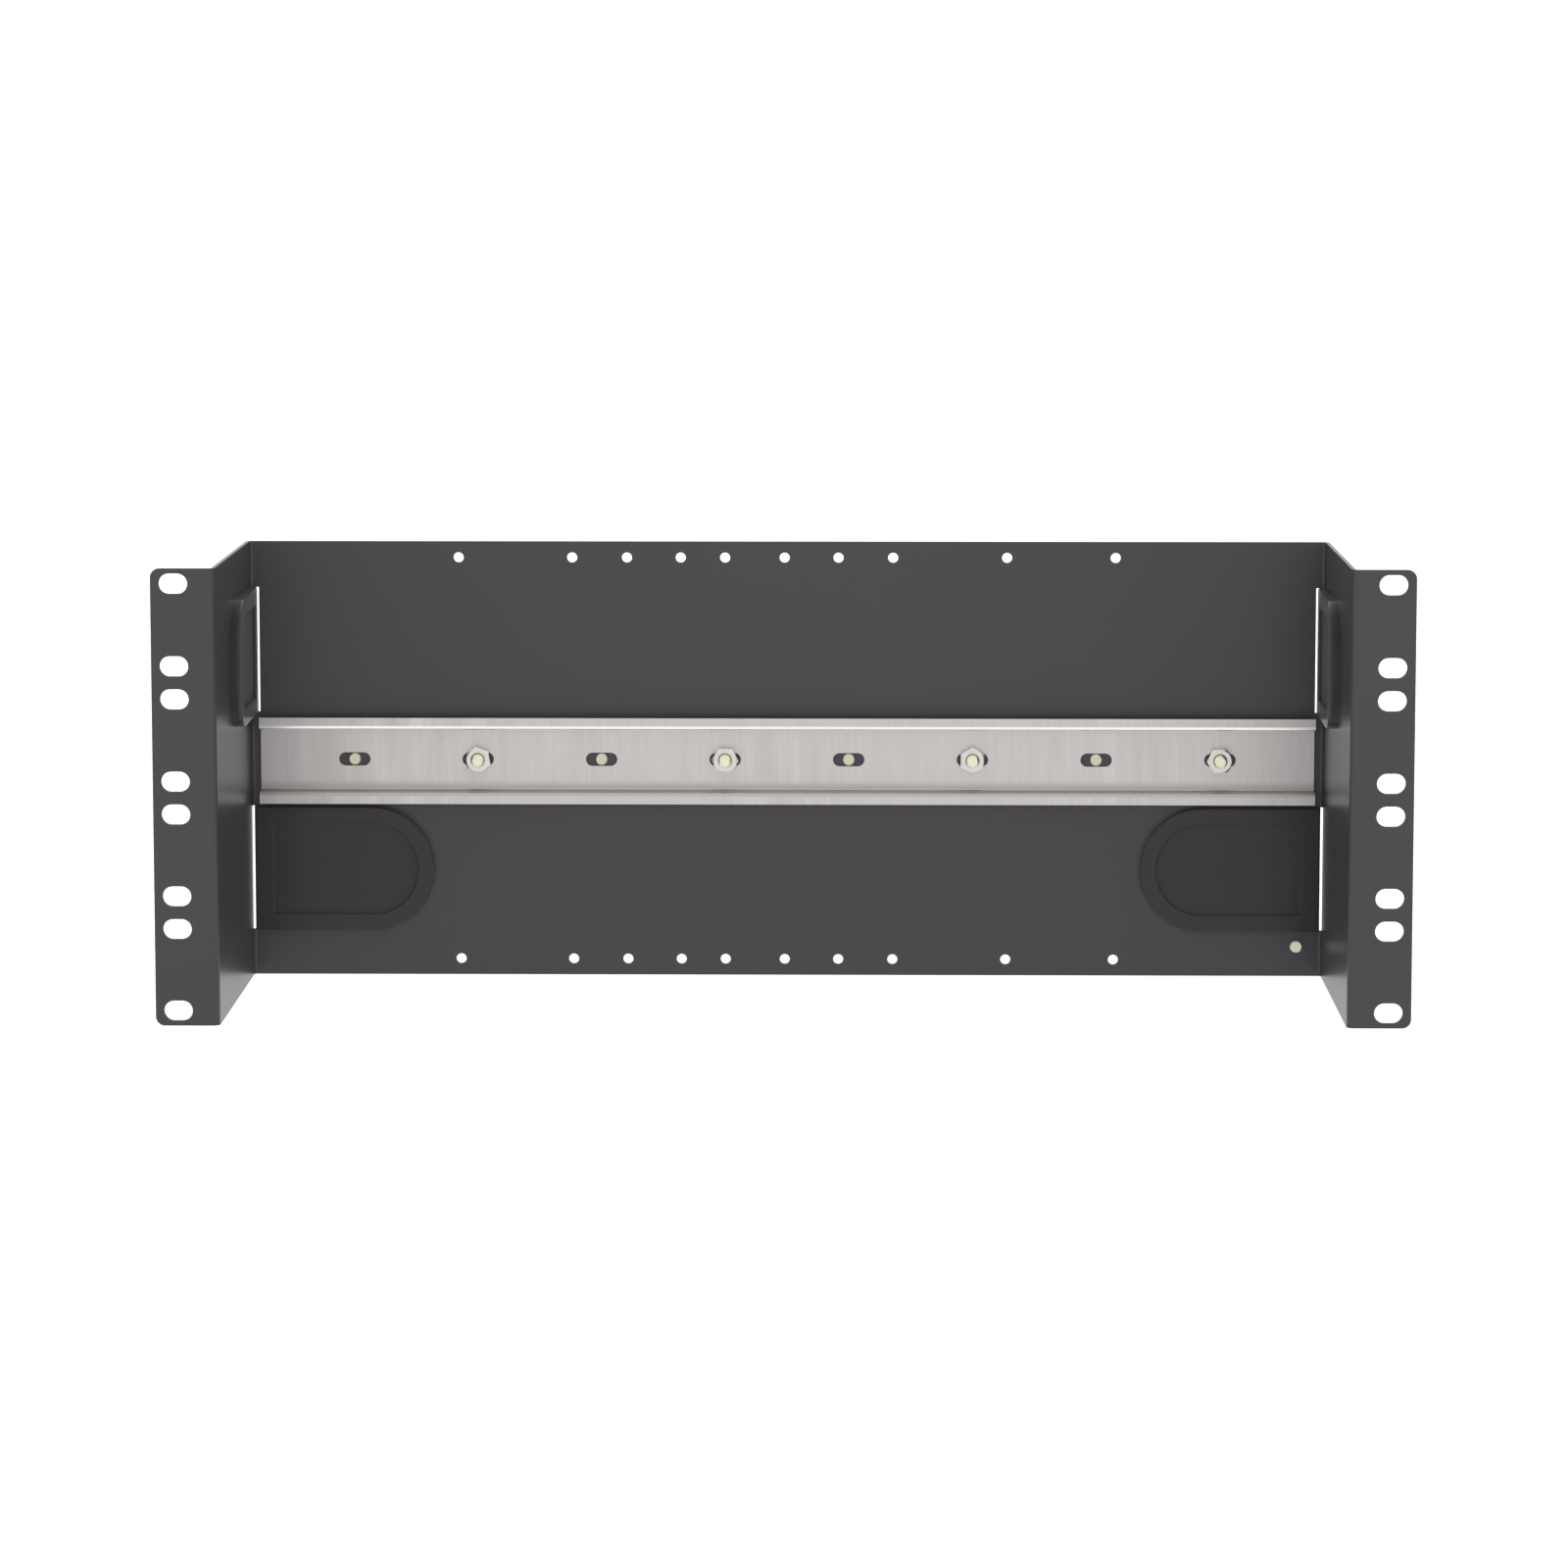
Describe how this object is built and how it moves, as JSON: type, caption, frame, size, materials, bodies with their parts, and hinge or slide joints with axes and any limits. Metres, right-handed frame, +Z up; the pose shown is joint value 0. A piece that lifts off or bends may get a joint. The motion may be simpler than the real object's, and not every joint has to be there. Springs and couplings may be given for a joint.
{
  "type": "din rail rack bracket",
  "caption": "Folded rack panel with slotted ears and a top-hat rail for terminal blocks and controllers, with D-shaped cable entries closed by blind grommets.",
  "frame": {"origin": "middle of the rack slot pattern, on the front face of the ears", "axes": "+X to the right seen from the front of the rack, +Y from front to back, +Z up"},
  "size_m": [0.4826, 0.1201, 0.1768],
  "materials": {
    "dark_paint": "semi-gloss dark grey powder coat",
    "rail_steel": "zinc plated, satin, grain across the rail",
    "nut_zinc": "zinc plated, satin",
    "pale_plating": "pale yellow zinc plating",
    "grommet_rubber": "smooth black rubber with a soft sheen"
  },
  "bodies": {
    "root": {"bracket": "dark_paint", "din_rail": "rail_steel", "locating_pin_1": "pale_plating", "rail_stud_1": "pale_plating", "rail_nut_1": "nut_zinc", "locating_pin_2": "pale_plating", "rail_stud_2": "pale_plating", "rail_nut_2": "nut_zinc", "locating_pin_3": "pale_plating", "rail_stud_3": "pale_plating", "rail_nut_3": "nut_zinc", "locating_pin_4": "pale_plating", "rail_stud_4": "pale_plating", "rail_nut_4": "nut_zinc", "earth_pin": "pale_plating", "upper_left_grommet": "grommet_rubber", "upper_right_grommet": "grommet_rubber", "lower_left_grommet": "grommet_rubber", "lower_right_grommet": "grommet_rubber"}
  },
  "joints": []
}
